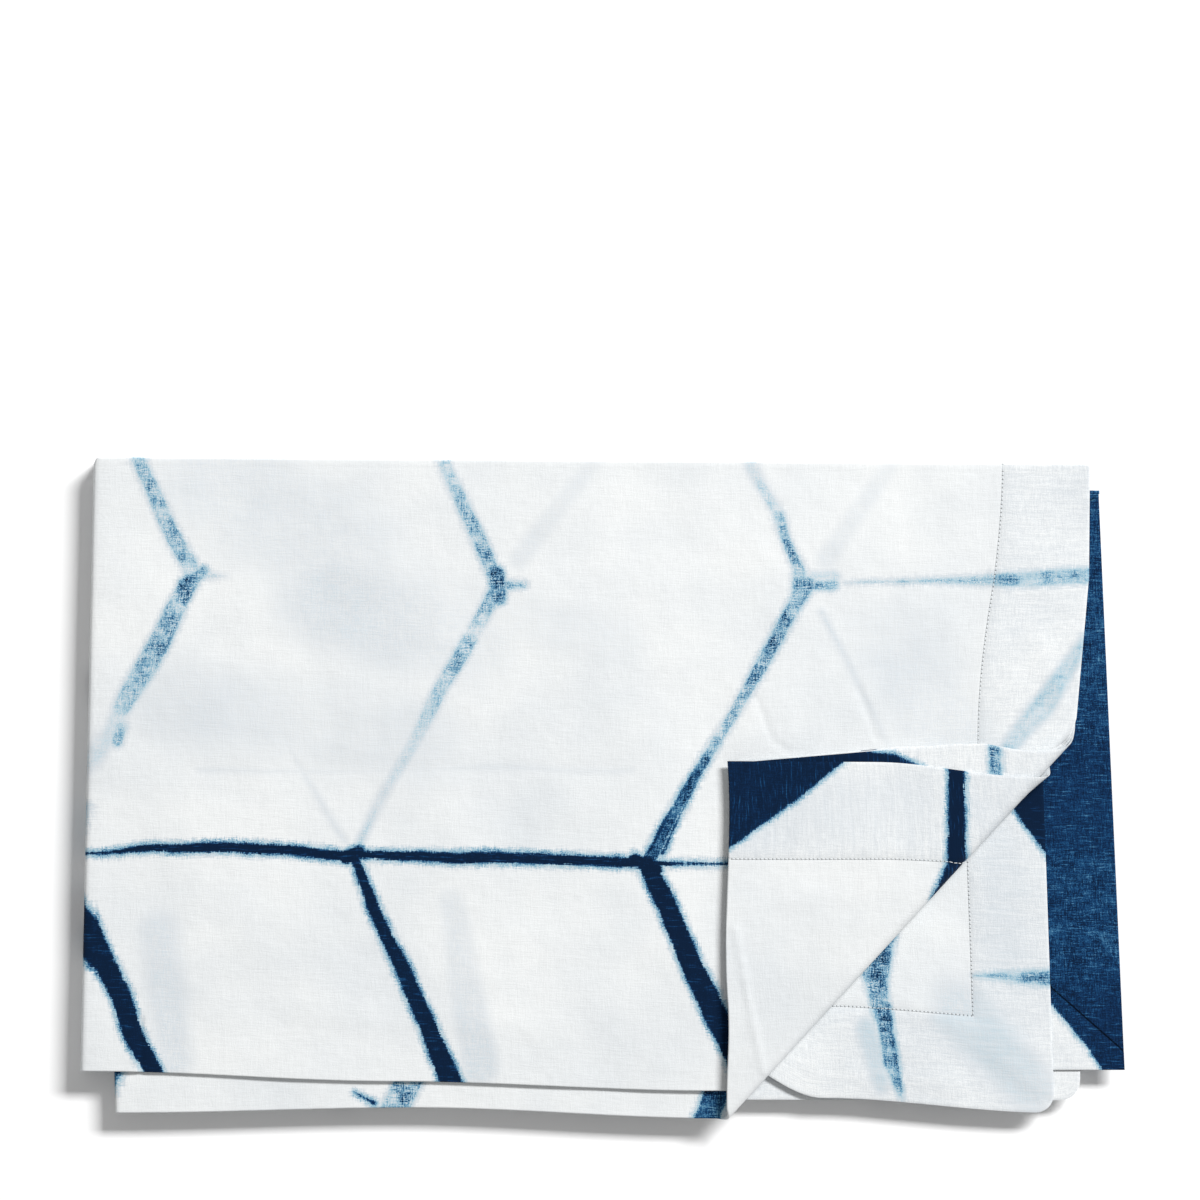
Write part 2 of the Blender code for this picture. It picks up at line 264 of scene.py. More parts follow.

# Strokes listed one by one on the leaves in view: the leaf, and each point's pixel in the photograph, width
# in millimetres and strength of the dye.
STROKES = (
    (1, (185, 585, 9, 0.56), (203, 573, 8, 0.58)),
    (1, (497, 574, 11, 0.52), (498, 598, 11, 0.56)),
    (1, (800, 574, 9, 0.36), (798, 600, 8, 0.42)),
    (1, (808, 585, 6, 0.42), (832, 585, 7, 0.38)),
    (1, (808, 578, 9, 0.16), (832, 578, 9, 0.2)),
    (1, (801, 572, 7.5, 0.32), (790, 546, 7, 0.36)),
    (1, (790, 546, 7, 0.3), (779, 515, 7, 0.38)),
    (1, (777, 510, 7, 0.22), (763, 485, 7.5, 0.16)),
    (1, (763, 485, 8, 0.16), (745, 452, 9, 0.14)),
    (1, (122, 728, 9, 0.28), (117, 742, 8, 0.28)),
    (1, (343, 858, 10, 1), (357, 853, 9, 1)),
    (1, (634, 858, 9, 1), (655, 868, 10, 1)),
    (1, (351, 856, 6, 1), (480, 855, 8, 1), (646, 862, 7, 1)),
    (1, (704, 756, 1, 0.7), (650, 848, 3.2, 0.97)),
    (1, (712, 756, 0.8, 0.66), (662, 852, 2.4, 0.9)),
    (1, (80, 855, 1.8, 0.97), (112, 853, 2.6, 1), (136, 850, 4.6, 1), (205, 846, 7.5, 1)),
    (1, (205, 846, 7.5, 1), (290, 849, 7, 1), (350, 858, 8, 1)),
    (1, (91, 806, 5, 0.4), (85, 852, 3, 0.86)),
    (1, (73, 880, 11, 1), (96, 942, 14.5, 1), (122, 995, 14.5, 1), (133, 1030, 13.8, 1), (158, 1082, 12, 1)),
    (1, (1086, 640, 10, 0.17), (1042, 709, 18, 0.2), (1008, 748, 13, 0.19)),
    (1, (220, 480, 80, 0.05), (340, 560, 80, 0.05)),
    (1, (330, 600, 70, 0.07), (470, 640, 60, 0.05)),
    (1, (890, 640, 50, 0.03), (950, 735, 60, 0.06)),
    (1, (160, 930, 26, 0.06), (176, 1062, 24, 0.08)),
    (1, (452, 900, 18, 0.05), (480, 1066, 26, 0.08)),
    (1, (180, 700, 60, 0.035), (420, 745, 60, 0.03)),
    (1, (430, 600, 40, 0.03), (620, 640, 30, 0.03)),
    (1, (200, 770, 3, 0.06), (630, 769, 3, 0.04)),
    (3, (122, 1060, 8, 0.78), (117, 1092, 2, 0.6)),
    (2, (860, 752, 6, 0.05), (900, 752, 6, 0.05)),
    (3, (1098, 470, 30, 0.78), (1098, 530, 30, 0.78)),
    (3, (412, 1075, 18, 0.5), (393, 1114, 20, 0.42)),
    (3, (374, 1104, 3, 0.9), (355, 1094, 0.8, 0.85)),
    (3, (721, 1080, 17, 0.8), (704, 1124, 18, 0.72)),
    (3, (735, 763, 8, 1), (862, 762, 15, 1), (893, 763, 14, 0.95)),
    (3, (893, 763, 14, 0.9), (922, 766, 2, 0.7)),
    (3, (994, 750, 9, 0.5), (994, 772, 9, 0.55)),
    (4, (815, 728, 61, 0.93), (702, 817, 61, 0.93)),
    (4, (955, 762, 12, 0.97), (955, 866, 12.5, 1)),
    (4, (955, 866, 12, 1), (936, 898, 8, 1)),
    (4, (750, 812, 50, 0.03), (900, 806, 50, 0.03)),
    (5, (1034, 796, 36, 1.04), (1070, 842, 36, 0.94)),
    (5, (890, 930, 9, 0.66), (876, 972, 19, 0.46)),
    (5, (874, 972, 20, 0.44), (878, 998, 15, 0.44), (886, 1026, 12, 0.46)),
    (5, (886, 1026, 12, 0.42), (891, 1064, 13, 0.38), (902, 1098, 4, 0.36)),
    (5, (888, 1006, 5, 0.52), (893, 1050, 6, 0.54)),
    (5, (895, 1056, 4, 0.52), (902, 1092, 3, 0.48)),
    (5, (866, 1030, 16, 0.1), (880, 1085, 14, 0.1)),
    (5, (974, 976, 1.5, 0.24), (1056, 979, 12, 0.44)),
    (5, (990, 977, 1, 0.5), (1056, 980, 3, 0.5)),
    (5, (960, 1010, 40, 0.07), (1030, 1085, 40, 0.09)),
    (5, (1003, 850, 30, 0.02), (1003, 960, 30, 0.02)),
    (6, (1080, 420, 84, 0.8), (1080, 640, 84, 0.79)),
    (6, (1080, 640, 84, 0.77), (1080, 800, 84, 0.84), (1080, 880, 84, 0.8), (1080, 940, 84, 0.75)),
    (6, (1073, 968, 57, 0.8), (1143, 1056, 57, 0.9)),
)

# Each area in view has a material with its own strokes: a leaf, from and to a pixel across the photograph.
# A stroke reaches this many pixels beyond its ends.
AREA_SPLIT = 580
SHEET_AREAS = [(1, 0, AREA_SPLIT), (1, AREA_SPLIT, PHOTO_SIDE)]
SHEET_AREAS += [(leaf, 0, PHOTO_SIDE) for leaf in range(2, 7)]
HEM_AREAS = ((3, 0, PHOTO_SIDE), (6, 0, PHOTO_SIDE))
STROKE_REACH = 45

# On the leaves of the turned corner, the pixel rows that show them turned.
TURNED_ROWS = (740, 1000)

# The lattice on the leaves that are hidden but for their edges.
HIDDEN_ROW_STEP = 0.182
HIDDEN_WIDTH = 0.010

# The level of light on the cloth, and how white cloth and deeper and deeper dye look in the photograph.
LIGHT_LEVEL = 1.11
DYE_RAMP = (
    (0.0, (239, 241, 241)),
    (0.10, (219, 224, 228)),
    (0.30, (170, 199, 212)),
    (0.48, (116, 163, 189)),
    (0.62, (68, 120, 156)),
    (0.76, (25, 75, 119)),
    (0.88, (11, 46, 85)),
    (1.0, (4, 29, 56)),
)


# Folding, the same as in the solid but for its pressed folds and the blunted corner.


def stack(leaves):
    """The thickness of this many leaves."""
    return leaves * PITCH - LEAF_GAP


def strip(leaves):
    """The length of cloth that the fold of a stack takes up."""
    return math.pi * (stack(leaves) + LEAF_GAP) / 2


FIRST_STRIP = strip(1)
SECOND_STRIP = strip(2)
THIRD_STRIP = strip(4)
LAST_STRIP = strip(8)
THIRD_CREASE = (FLAT_WIDTH + FIRST_STRIP) / 4
LAST_CREASE = -(FLAT_LENGTH + SECOND_STRIP) / 4
LEAF_LEFT = LAST_CREASE + LAST_STRIP / 2
LEAF_LENGTH = -SECOND_STRIP / 2 - LEAF_LEFT
LEAF_FOOT = FIRST_STRIP / 2
LEAF_WIDTH = THIRD_CREASE - THIRD_STRIP / 2 - LEAF_FOOT
FOLDED_LEFT = LAST_CREASE + LAST_STRIP / 2 - stack(8) - LEAF_GAP / 2
FOLDED_TOP = THIRD_CREASE - THIRD_STRIP / 2 + stack(4) + LEAF_GAP / 2
SHIFT = Vector((LEAF_LEFT + MIDDLE_X, MIDDLE_Y, 0.0))


def clamped(value):
    return min(max(value, 0.0), 1.0)


def eased(share):
    """0 to 1 with a level start and end."""
    share = clamped(share)
    return share * share * (3 - 2 * share)


def mixed(start, end, share):
    return start + (end - start) * share


def around_fold(share):
    """How far out and up a place lies around a pressed fold, each from -1 to 1."""
    side = round(share * 2)
    angle = side * math.pi / 2 + math.atan(share * 4 - side * 2)
    out, up = math.sin(angle), math.cos(angle)
    size = (abs(out) ** PRESSED + abs(up) ** PRESSED) ** (-1 / PRESSED)
    return out * size, up * size


def turned_over(past, height, leaves):
    """Folds what lies past a crease up and back over a stack. past is the distance beyond the crease."""
    taken = strip(leaves)
    axis = stack(leaves) + LEAF_GAP / 2
    along = past + taken / 2
    if along <= 0:
        return past, height
    out, up = around_fold(min(along / taken, 1.0))
    radius = axis - height
    back = max(along - taken, 0.0)
    return radius * out - taken / 2 - back, axis - radius * up


def folded(length, width, height):
    """A place on the flat cloth, wrong side up, taken through the four folds."""
    past, height = turned_over(-width, height, 1)
    y = -past
    x, height = turned_over(length, height, 2)
    past, height = turned_over(y - THIRD_CREASE, height, 4)
    y = THIRD_CREASE + past
    past, height = turned_over(LAST_CREASE - x, height, 8)
    return Vector((LAST_CREASE - past, y, height))


def quarter_of(length, width):
    """Which quarter of the cloth's length and of its width a place lies in."""
    column = int((length + FLAT_LENGTH / 2) / (FLAT_LENGTH / 4))
    row = int((width + FLAT_WIDTH / 2) / (FLAT_WIDTH / 4))
    return min(max(column, 0), 3), min(max(row, 0), 3)


def leaf_of_quarter(column, row):
    """The number of a leaf, counted from the top of the pile."""
    length = (column + 0.5) * FLAT_LENGTH / 4 - FLAT_LENGTH / 2
    width = (row + 0.5) * FLAT_WIDTH / 4 - FLAT_WIDTH / 2
    return 16 - int(folded(length, width, CLOTH / 2).z / PITCH)


LEAF_OF = {(column, row): leaf_of_quarter(column, row) for column in range(4) for row in range(4)}
QUARTER_OF = {leaf: quarter for quarter, leaf in LEAF_OF.items()}


def leaf_at(length, width):
    return LEAF_OF[quarter_of(length, width)]


def foot_offset(edges, share):
    """The offset of a leaf's bottom edge, eased between the five stations."""
    for index in range(len(FOOT_AT) - 1):
        if share <= FOOT_AT[index + 1] or index == len(FOOT_AT) - 2:
            within = (share - FOOT_AT[index]) / (FOOT_AT[index + 1] - FOOT_AT[index])
            return mixed(edges["foot"][index], edges["foot"][index + 1], eased(within))


def drawn_in(leaf, across, down):
    """How far inward a leaf's right side is drawn by the slanting fold or slips, in millimetres."""
    inward = 0.0
    if leaf in PULLED:
        pull = PULLED[leaf]
        if down < pull["most"]:
            inward += pull["inward"] * clamped((down - pull["begins"]) / (pull["most"] - pull["begins"]))
        else:
            inward += pull["inward"] * (1 - eased((down - pull["most"]) / (pull["ends"] - pull["most"])))
        inward *= eased(1 - (1 - across) / PULL_ACROSS)
    if leaf == SLIPPED_LEAF:
        inward += across * SLIP * eased(down / SLIP_DEPTH) * (1 - down)
    return inward


def edge_offset(place, edges):
    """How far a place is moved in its leaf, so that the leaf's edges lie where the tables put them."""
    across = clamped((place.x - LEAF_LEFT) / LEAF_LENGTH)
    down = clamped(1 - (place.y - LEAF_FOOT) / LEAF_WIDTH)
    left = mixed(LEFT_TOP, edges["left_foot"], down)
    right = mixed(edges["right_top"], edges["right_foot"], down)
    top = mixed(edges["top_left"], edges["top_right"], across)
    foot = foot_offset(edges, across)
    inward = drawn_in(edges["leaf"], across, down)
    return Vector((mixed(left, right, across) - inward, mixed(top, foot, down), 0.0)) / 1000


def back_fold_frame():
    """The slanting fold's start, its direction along, its direction outward, and its length."""
    upper = Vector(BACK_UPPER_END)
    lower = Vector(BACK_LOWER_END)
    along = (lower - upper).normalized()
    return upper, along, Vector((-along.y, along.x)), (lower - upper).length


def back_fold_at(share):
    """The slanting fold's inner radius, where it starts from its outer edge, and the cloth that it takes."""
    radius = mixed(BACK_UPPER_RADIUS, BACK_LOWER_RADIUS, share)
    return radius, -radius - stack(BACK_LEAVES), math.pi * (radius + stack(BACK_LEAVES) / 2)


def settled_share(back):
    """How much of its rise the turned corner has lost this far back from the fold."""
    for near, far in zip(BACK_SETTLE, BACK_SETTLE[1:]):
        if back <= far[0]:
            return mixed(near[1], far[1], (back - near[0]) / (far[0] - near[0]))
    return 1.0


def turned_back(place):
    """Folds the corner past the slanting fold up and over the top leaf."""
    upper, along, outward, length = back_fold_frame()
    flat = Vector((place.x, place.y))
    share = (flat - upper).dot(along) / length
    radius, start, taken = back_fold_at(share)
    past = (flat - upper).dot(outward) - start
    if past <= 0:
        return place
    axis = stack(16) + radius
    angle = math.pi * min(past / taken, 1.0)
    reach = axis - place.z
    if place.z < stack(17 - BACK_LEAVES) + LEAF_GAP / 2:
        # The outermost of the turned leaves stands off from the others at the fold's upper end.
        opened = math.sin(angle) * eased(4 * angle / math.pi - 1)
        reach += BACK_GAPE * opened * (1 - eased(share / BACK_GAPE_END))
    back = max(past - taken, 0.0)
    new_past = start + reach * math.sin(angle) - back
    settled = 2 * (radius - BACK_REST_RADIUS) * settled_share(back)
    new_flat = flat + outward * (new_past - (past + start))
    return Vector((new_flat.x, new_flat.y, axis - reach * math.cos(angle) - settled))


def wave_sines(table, spot):
    """The size of each wave in a table, and its sine at a place."""
    for wave in named(WAVE_COLUMNS, table):
        run = wave["waves_x"] * spot.x + wave["waves_y"] * spot.y
        yield wave["size"], math.sin(2 * math.pi * run + wave["phase"])


def waved(place):
    """Raises and lowers the pile a little, its underside staying level."""
    share = 1.0
    for size, sine in wave_sines(WAVES, place):
        share += size * sine
    return Vector((place.x, place.y, place.z * share))


def rounded(length, width):
    """Draws the free corners of the cloth in to an arc, but for the one that stays sharp."""
    past_length = (abs(length) - (FLAT_LENGTH / 2 - CORNER_ROUND)) / CORNER_ROUND
    past_width = (abs(width) - (FLAT_WIDTH / 2 - CORNER_ROUND)) / CORNER_ROUND
    if min(past_length, past_width) <= 0 or leaf_at(length, width) == SHARP_CORNER_LEAF:
        return length, width
    pull = max(past_length, past_width) / math.hypot(past_length, past_width) - 1
    length += math.copysign(1.0, length) * past_length * pull * CORNER_ROUND
    width += math.copysign(1.0, width) * past_width * pull * CORNER_ROUND
    return length, width


def blunted(place):
    """Blunts the corner of the pile where the last two folds meet."""
    inward = place.x - FOLDED_LEFT
    down = FOLDED_TOP - place.y
    if max(inward, down) < FOLD_CORNER:
        arc = FOLD_CORNER - math.sqrt(FOLD_CORNER**2 - (FOLD_CORNER - max(down, 0.0)) ** 2)
        place.x += FOLD_CORNER_SHARE * arc * (1 - inward / FOLD_CORNER)
    return place


def in_pile(length, width, height):
    """A place on the flat cloth, in its folded leaf before the corner is turned back."""
    edges = EDGES[leaf_at(length, width)]
    place = blunted(folded(*rounded(length, width), height))
    return place + edge_offset(place, edges) - SHIFT


def is_upper(place):
    return place.z > stack(16 - BACK_LEAVES) + LEAF_GAP / 2


def at_rest(length, width, height):
    """A place on the flat cloth, where it lies at last."""
    place = in_pile(length, width, height)
    return waved(turned_back(place) if is_upper(place) else place)


# From the photograph back to the flat cloth.


def seen_at(pixel_x, pixel_y):
    """The place over a pixel of the photograph."""
    return Vector(((pixel_x - MIDDLE_PIXEL[0]) * PIXEL, (MIDDLE_PIXEL[1] - pixel_y) * PIXEL))


def unturned(spot):
    """Where a place on the turned-back corner lay before it was turned."""
    upper, along, outward, length = back_fold_frame()
    share = (spot - upper).dot(along) / length
    _, start, taken = back_fold_at(share)
    back = start - (spot - upper).dot(outward)
    return spot + outward * (2 * back + taken)


def flat_place(leaf, spot):
    """The flat cloth's length and width at a place on a leaf."""
    goal = Vector((spot.x, spot.y, 0.0)) + SHIFT
    place = goal.copy()
    for _ in range(6):
        place = goal - edge_offset(place, EDGES[leaf])
    column, row = QUARTER_OF[leaf]
    x = place.x if column in (1, 2) else 2 * LAST_CREASE - place.x
    y = place.y if row in (1, 2) else 2 * THIRD_CREASE - place.y
    return Vector((x if column < 2 else -x, y if row > 1 else -y))


def flat_pixel(leaf, pixel_x, pixel_y):
    """The flat cloth's length and width under a pixel. Leaves 2 to 4 are seen on the turned corner."""
    spot = seen_at(pixel_x, pixel_y)
    turned = leaf == 4 or (leaf in (2, 3) and TURNED_ROWS[0] < pixel_y < TURNED_ROWS[1])
    return flat_place(leaf, unturned(spot) if turned else spot)


# Meshes.


def fold_stations(crease, taken, shares):
    return [crease - taken / 2 + taken * share for share in shares]


def between(start, end):
    """Even steps from start to end, without the two."""
    count = max(round((end - start) / STEP), 1)
    return [mixed(start, end, index / count) for index in range(1, count)]


def stations(end, crease, inner_strip, outer_strip, outer_shares):
    """Where the flat cloth is divided on one side of its middle, mirrored to the other."""
    row = end - HEM_WIDTH + STITCH_INSET
    found = fold_stations(0.0, inner_strip, INNER_FOLD_SHARES)
    found += fold_stations(crease, outer_strip, outer_shares)
    found += between(inner_strip / 2, crease - outer_strip / 2)
    found += between(crease + outer_strip / 2, row + BESIDE_ROW[0])
    found += [row + step for step in BESIDE_ROW]
    found += between(row + BESIDE_ROW[-1], end - CORNER_ROUND)
    found += [end - CORNER_ROUND * share for share in TO_EDGE]
    found += [crease - outer_strip / 2 - step for step in BEFORE_FOLD]
    return sorted(set(found) | {-station for station in found})


LENGTH_STATIONS = stations(FLAT_LENGTH / 2, -LAST_CREASE, SECOND_STRIP, LAST_STRIP, LAST_FOLD_SHARES)
WIDTH_STATIONS = stations(FLAT_WIDTH / 2, THIRD_CREASE, FIRST_STRIP, THIRD_STRIP, THIRD_FOLD_SHARES)


def row_distance(short_side, side, along):
    """How far from the cloth's edge its row of stitches runs."""
    if not short_side:
        return HEM_WIDTH - STITCH_INSET
    row = SHORT_ROWS[side]
    return row["distance"] + row["swing"] * math.cos(math.pi * (along - row["crest"]) / row["half_wave"])


def past_row(length, width):
    """How far a place lies past the nearest row of stitches, towards the edge."""
    short = row_distance(True, 1 if length > 0 else -1, width) - (FLAT_LENGTH / 2 - abs(length))
    long = row_distance(False, 0, 0.0) - (FLAT_WIDTH / 2 - abs(width))
    return max(short, long)


def beside_row(length, width):
    """Moves a place near a short hem along with its wandering row."""
    side = 1 if length > 0 else -1
    even = HEM_WIDTH - STITCH_INSET
    off = abs(FLAT_LENGTH / 2 - abs(length) - even)
    follows = 1 - eased((off - FOLLOW_FULL) / FOLLOW_FADE)
    return length - side * (row_distance(True, side, width) - even) * follows


def flat_grid(length_stations, width_stations):
    """A flat grid divided at the stations, following the rows of stitches."""
    body = bmesh.new()
    columns = len(length_stations) - 1
    rows = len(width_stations) - 1
    bmesh.ops.create_grid(body, x_segments=columns, y_segments=rows, size=1.0)
    for vert in body.verts:
        column = round((vert.co.x + 1) / 2 * columns)
        row = round((vert.co.y + 1) / 2 * rows)
        length, width = length_stations[column], width_stations[row]
        vert.co = (beside_row(length, width), width, 0.0)
    return body


def keep_flat_uvs(body):
    layer = body.loops.layers.uv.new("flat")
    for face in body.faces:
        for loop in face.loops:
            loop[layer].uv = loop.vert.co.xy


def past_slanting_fold(length, width):
    """Whether a place on the flat cloth lies in the pile past the slanting fold, or close to it."""
    upper, _, outward, _ = back_fold_frame()
    place = in_pile(length, width, CLOTH / 2)
    return (place.xy - upper).dot(outward) > -SEEN_MARGIN


def creases_on(leaf):
    return [crease for crease in named(CREASE_COLUMNS, CREASES) if crease["leaf"] == leaf]


def from_crease(crease, spot):
    """How far a place is from a crease, in half widths of the crease."""
    start = seen_at(crease["from_x"], crease["from_y"])
    run = seen_at(crease["to_x"], crease["to_y"]) - start
    share = clamped((spot - start).dot(run) / run.length_squared)
    return (spot - start - run * share).length * 1000 / crease["half_width"]


def refine_creases(body):
    """Divides the sheet twice more where a narrow crease runs."""
    for reach in CREASE_REACHES:
        edges = set()
        for face in body.faces:
            middle = face.calc_center_median()
            leaf = leaf_at(middle.x, middle.y)
            near = [crease for crease in creases_on(leaf) if crease["half_width"] <= NARROW_CREASE]
            if not near:
                continue
            place = at_rest(middle.x, middle.y, SHEET_LEVEL)
            if leaf == 4 and place.z < stack(16):
                continue
            if any(from_crease(crease, place.xy) < reach for crease in near):
                edges |= set(face.edges)
        bmesh.ops.subdivide_edges(body, edges=list(edges), cuts=1, use_grid_fill=True)


def refine(body):
    """Divides the leaves in view more finely."""
    for leaf in SEEN_LEAVES:
        edges = set()
        for face in body.faces:
            middle = face.calc_center_median()
            if leaf_at(middle.x, middle.y) != leaf:
                continue
            if leaf != 1 and not past_slanting_fold(middle.x, middle.y):
                continue
            edges |= {edge for edge in face.edges if edge.calc_length() > 0.7 * STEP}
        bmesh.ops.subdivide_edges(body, edges=list(edges), cuts=SEEN_CUTS, use_grid_fill=True)


def cut(body, faces, point, normal, clear=False):
    """Cuts faces along a plane, and clears what lies past it if asked."""
    edges = {edge for face in faces for edge in face.edges}
    points = {vert for face in faces for vert in face.verts}
    parts = list(faces) + list(edges) + list(points)
    bmesh.ops.bisect_plane(body, geom=parts, plane_co=point, plane_no=normal, dist=1e-6, clear_outer=clear)


def turn_corner_back(body):
    """Cuts the four upper leaves along the slanting fold and turns their corner over."""
    upper, along, outward, length = back_fold_frame()
    bends = [(index / BACK_FOLD_SEGMENTS, 0.0) for index in range(BACK_FOLD_SEGMENTS)]
    bends += [(1.0, back) for back, _ in BACK_SETTLE]
    for around, back in bends:
        ends = []
        for share in (0.0, 1.0):
            _, start, taken = back_fold_at(share)
            ends.append(upper + along * length * share + outward * (start + taken * around + back))
        line = ends[1] - ends[0]
        faces = [f for f in body.faces if all(is_upper(v.co) and v.co.x > 0 for v in f.verts)]
        cut(body, faces, (*ends[0], 0.0), (line.y, -line.x, 0.0))
    for vert in body.verts:
        if is_upper(vert.co):
            vert.co = turned_back(vert.co)


def sewn_rise(length, width):
    """How the right side lies over the hem: raised by its inner layer, and drawn in along the stitches."""
    past = past_row(length, width)
    trough = SEW_DEPTH * math.exp(-((past / SEW_HALF_WIDTH) ** 2))
    return HEM_RISE * eased(past / HEM_RISE_OVER) - trough


def swell(spot):
    """The height of the top leaf's gentle swells."""
    height = 0.0
    for size, sine in wave_sines(SWELLS, spot):
        height += size / 1000 * (1 + sine)
    return height


def crease_rise(leaf, spot):
    """The height of the listed creases on a leaf, at a place seen from above."""
    rise = 0.0
    for crease in creases_on(leaf):
        here = crease["height"] / 1000 * math.exp(-(from_crease(crease, spot) ** 2))
        rise = max(rise, here, key=abs)
    return swell(spot) + rise


def placed(name, data):
    """A new object in the scene."""
    thing = bpy.data.objects.new(name, data)
    bpy.context.scene.collection.objects.link(thing)
    return thing


def finish_mesh(body, name, materials, thickness):
    """The piece of a folded sheet, given its thickness and materials."""
    mesh = bpy.data.meshes.new(name)
    for face in body.faces:
        face.smooth = True
    body.to_mesh(mesh)
    body.free()
    piece = placed(name, mesh)
    for material in materials:
        mesh.materials.append(material)
    solid = piece.modifiers.new("thickness", "SOLIDIFY")
    solid.thickness = thickness
    solid.offset = 0.0
    piece.modifiers.new("flat faces stay flat to their edges", "WEIGHTED_NORMAL")
    return piece


def give_materials(body, areas):
    """Gives each area in view its own material, and leaves the rest of the cloth the first."""
    for face in body.faces:
        middle = face.calc_center_median()
        leaf = leaf_at(middle.x, middle.y)
        across = in_pile(middle.x, middle.y, 0.0).x / PIXEL + MIDDLE_PIXEL[0]
        for index, (area_leaf, left, right) in enumerate(areas):
            if area_leaf == leaf and left <= across < right:
                face.material_index = index + 1


def cloth_piece(materials):
    """The one sheet of linen, folded."""
    body = flat_grid(LENGTH_STATIONS, WIDTH_STATIONS)
    refine(body)
    refine_creases(body)
    keep_flat_uvs(body)
    give_materials(body, SHEET_AREAS)
    for vert in body.verts:
        length, width = vert.co.x, vert.co.y
        vert.co = in_pile(length, width, SHEET_LEVEL)
        if leaf_at(length, width) in SEEN_LEAVES:
            # These leaves lie right side up in the pile, the fourth one once it is turned.
            down = 1 if leaf_at(length, width) == 4 else -1
            vert.co.z -= down * sewn_rise(length, width)
    turn_corner_back(body)
    uvs = body.loops.layers.uv["flat"]
    for vert in body.verts:
        place = vert.co.copy()
        leaf = leaf_at(*vert.link_loops[0][uvs].uv)
        if leaf in (1, 5) or (leaf == 4 and place.z > stack(16)):
            place.z += crease_rise(leaf, place.xy)
        vert.co = waved(place)
    return finish_mesh(body, "linen_sheet", materials, SHEET)


def hem_strip(along_length, side):
    """One side's turned-in layer, flat, with its ends cut on the mitre."""
    ends = (FLAT_LENGTH / 2, FLAT_WIDTH / 2)
    far = ends[1] if along_length else ends[0]
    inner = far - HEM_WIDTH
    steps = [inner, inner + BESIDE_ROW[-1], far - CORNER_ROUND * 2]
    steps += [far - CORNER_ROUND * share for share in TO_EDGE[:-1]] + [far - HEM_SHORT]
    across = sorted(side * step for step in steps)
    body = flat_grid(LENGTH_STATIONS, across) if along_length else flat_grid(across, WIDTH_STATIONS)
    for end in (-1, 1):
        signs = (end, side) if along_length else (side, end)
        corner = Vector((signs[0] * ends[0], signs[1] * ends[1], 0.0))
        if signs == SLANTED_MITRE:
            corner.y -= signs[1] * MITRE_SHIFT
        along = Vector((end, 0, 0)) if along_length else Vector((0, end, 0))
        inward = Vector((0, side, 0)) if along_length else Vector((side, 0, 0))
        cut(body, body.faces[:], corner - along * HEM_SHORT, along - inward, clear=True)
    return body


def hem_piece(materials):
    """The turned-in layer of the hems on the wrong side, four strips that meet in mitres."""
    whole = bmesh.new()
    for along_length in (True, False):
        for side in (-1, 1):
            body = hem_strip(along_length, side)
            part = bpy.data.meshes.new("hem_part")
            body.to_mesh(part)
            body.free()
            whole.from_mesh(part)
            bpy.data.meshes.remove(part)
    keep_flat_uvs(whole)
    give_materials(whole, HEM_AREAS)
    for vert in whole.verts:
        vert.co = in_pile(vert.co.x, vert.co.y, HEM_LEVEL)
    turn_corner_back(whole)
    for vert in whole.verts:
        vert.co = waved(vert.co)
    return finish_mesh(whole, "hem", materials, HEM_LAYER)


def stitch_starts():
    """Each stitch on the flat cloth: where it starts and which way it runs."""
    even = HEM_WIDTH - STITCH_INSET
    for short_side in (True, False):
        far, across = (FLAT_WIDTH / 2, FLAT_LENGTH / 2) if short_side else (FLAT_LENGTH / 2, FLAT_WIDTH / 2)
        count = int(2 * (far - even) / STITCH_PITCH)
        for side in (-1, 1):
            for index in range(count):
                along = index * STITCH_PITCH - (far - even)
                line = side * (across - row_distance(short_side, side, along))
                if short_side:
                    yield Vector((line, along)), Vector((0, 1))
                else:
                    yield Vector((along, line)), Vector((1, 0))


# A stitch is a spindle: its sides, the shares of its length and radius at each ring, how far it lies askew
# and how that changes from stitch to stitch.
SPINDLE_SIDES = 5
SPINDLE_RINGS = ((-0.5, 0.25), (-0.26, 1.0), (0.26, 1.0), (0.5, 0.25))
SPINDLE_TILT = math.radians(9)
SPINDLE_CHANGE = 2.4


def spindle(middle, run, tilt):
    """The vertices of one short length of thread, ring by ring."""
    turn = run.to_track_quat("Z", "Y").to_matrix() @ Matrix.Rotation(tilt, 3, "Y")
    long = run.length + STITCH_RADIUS
    for along, width in SPINDLE_RINGS:
        for side in range(SPINDLE_SIDES):
            angle = 2 * math.pi * side / SPINDLE_SIDES
            radius = STITCH_RADIUS * width
            yield middle + turn @ Vector((radius * math.cos(angle), radius * math.sin(angle), along * long))


def spindle_faces(first):
    """The faces of one length of thread whose vertices start at this number."""
    last = first + SPINDLE_SIDES * (len(SPINDLE_RINGS) - 1)
    yield [first + side for side in reversed(range(SPINDLE_SIDES))]
    yield [last + side for side in range(SPINDLE_SIDES)]
    for ring in range(len(SPINDLE_RINGS) - 1):
        low = first + ring * SPINDLE_SIDES
        for side in range(SPINDLE_SIDES):
            after = (side + 1) % SPINDLE_SIDES
            yield [low + side, low + after, low + SPINDLE_SIDES + after, low + SPINDLE_SIDES + side]


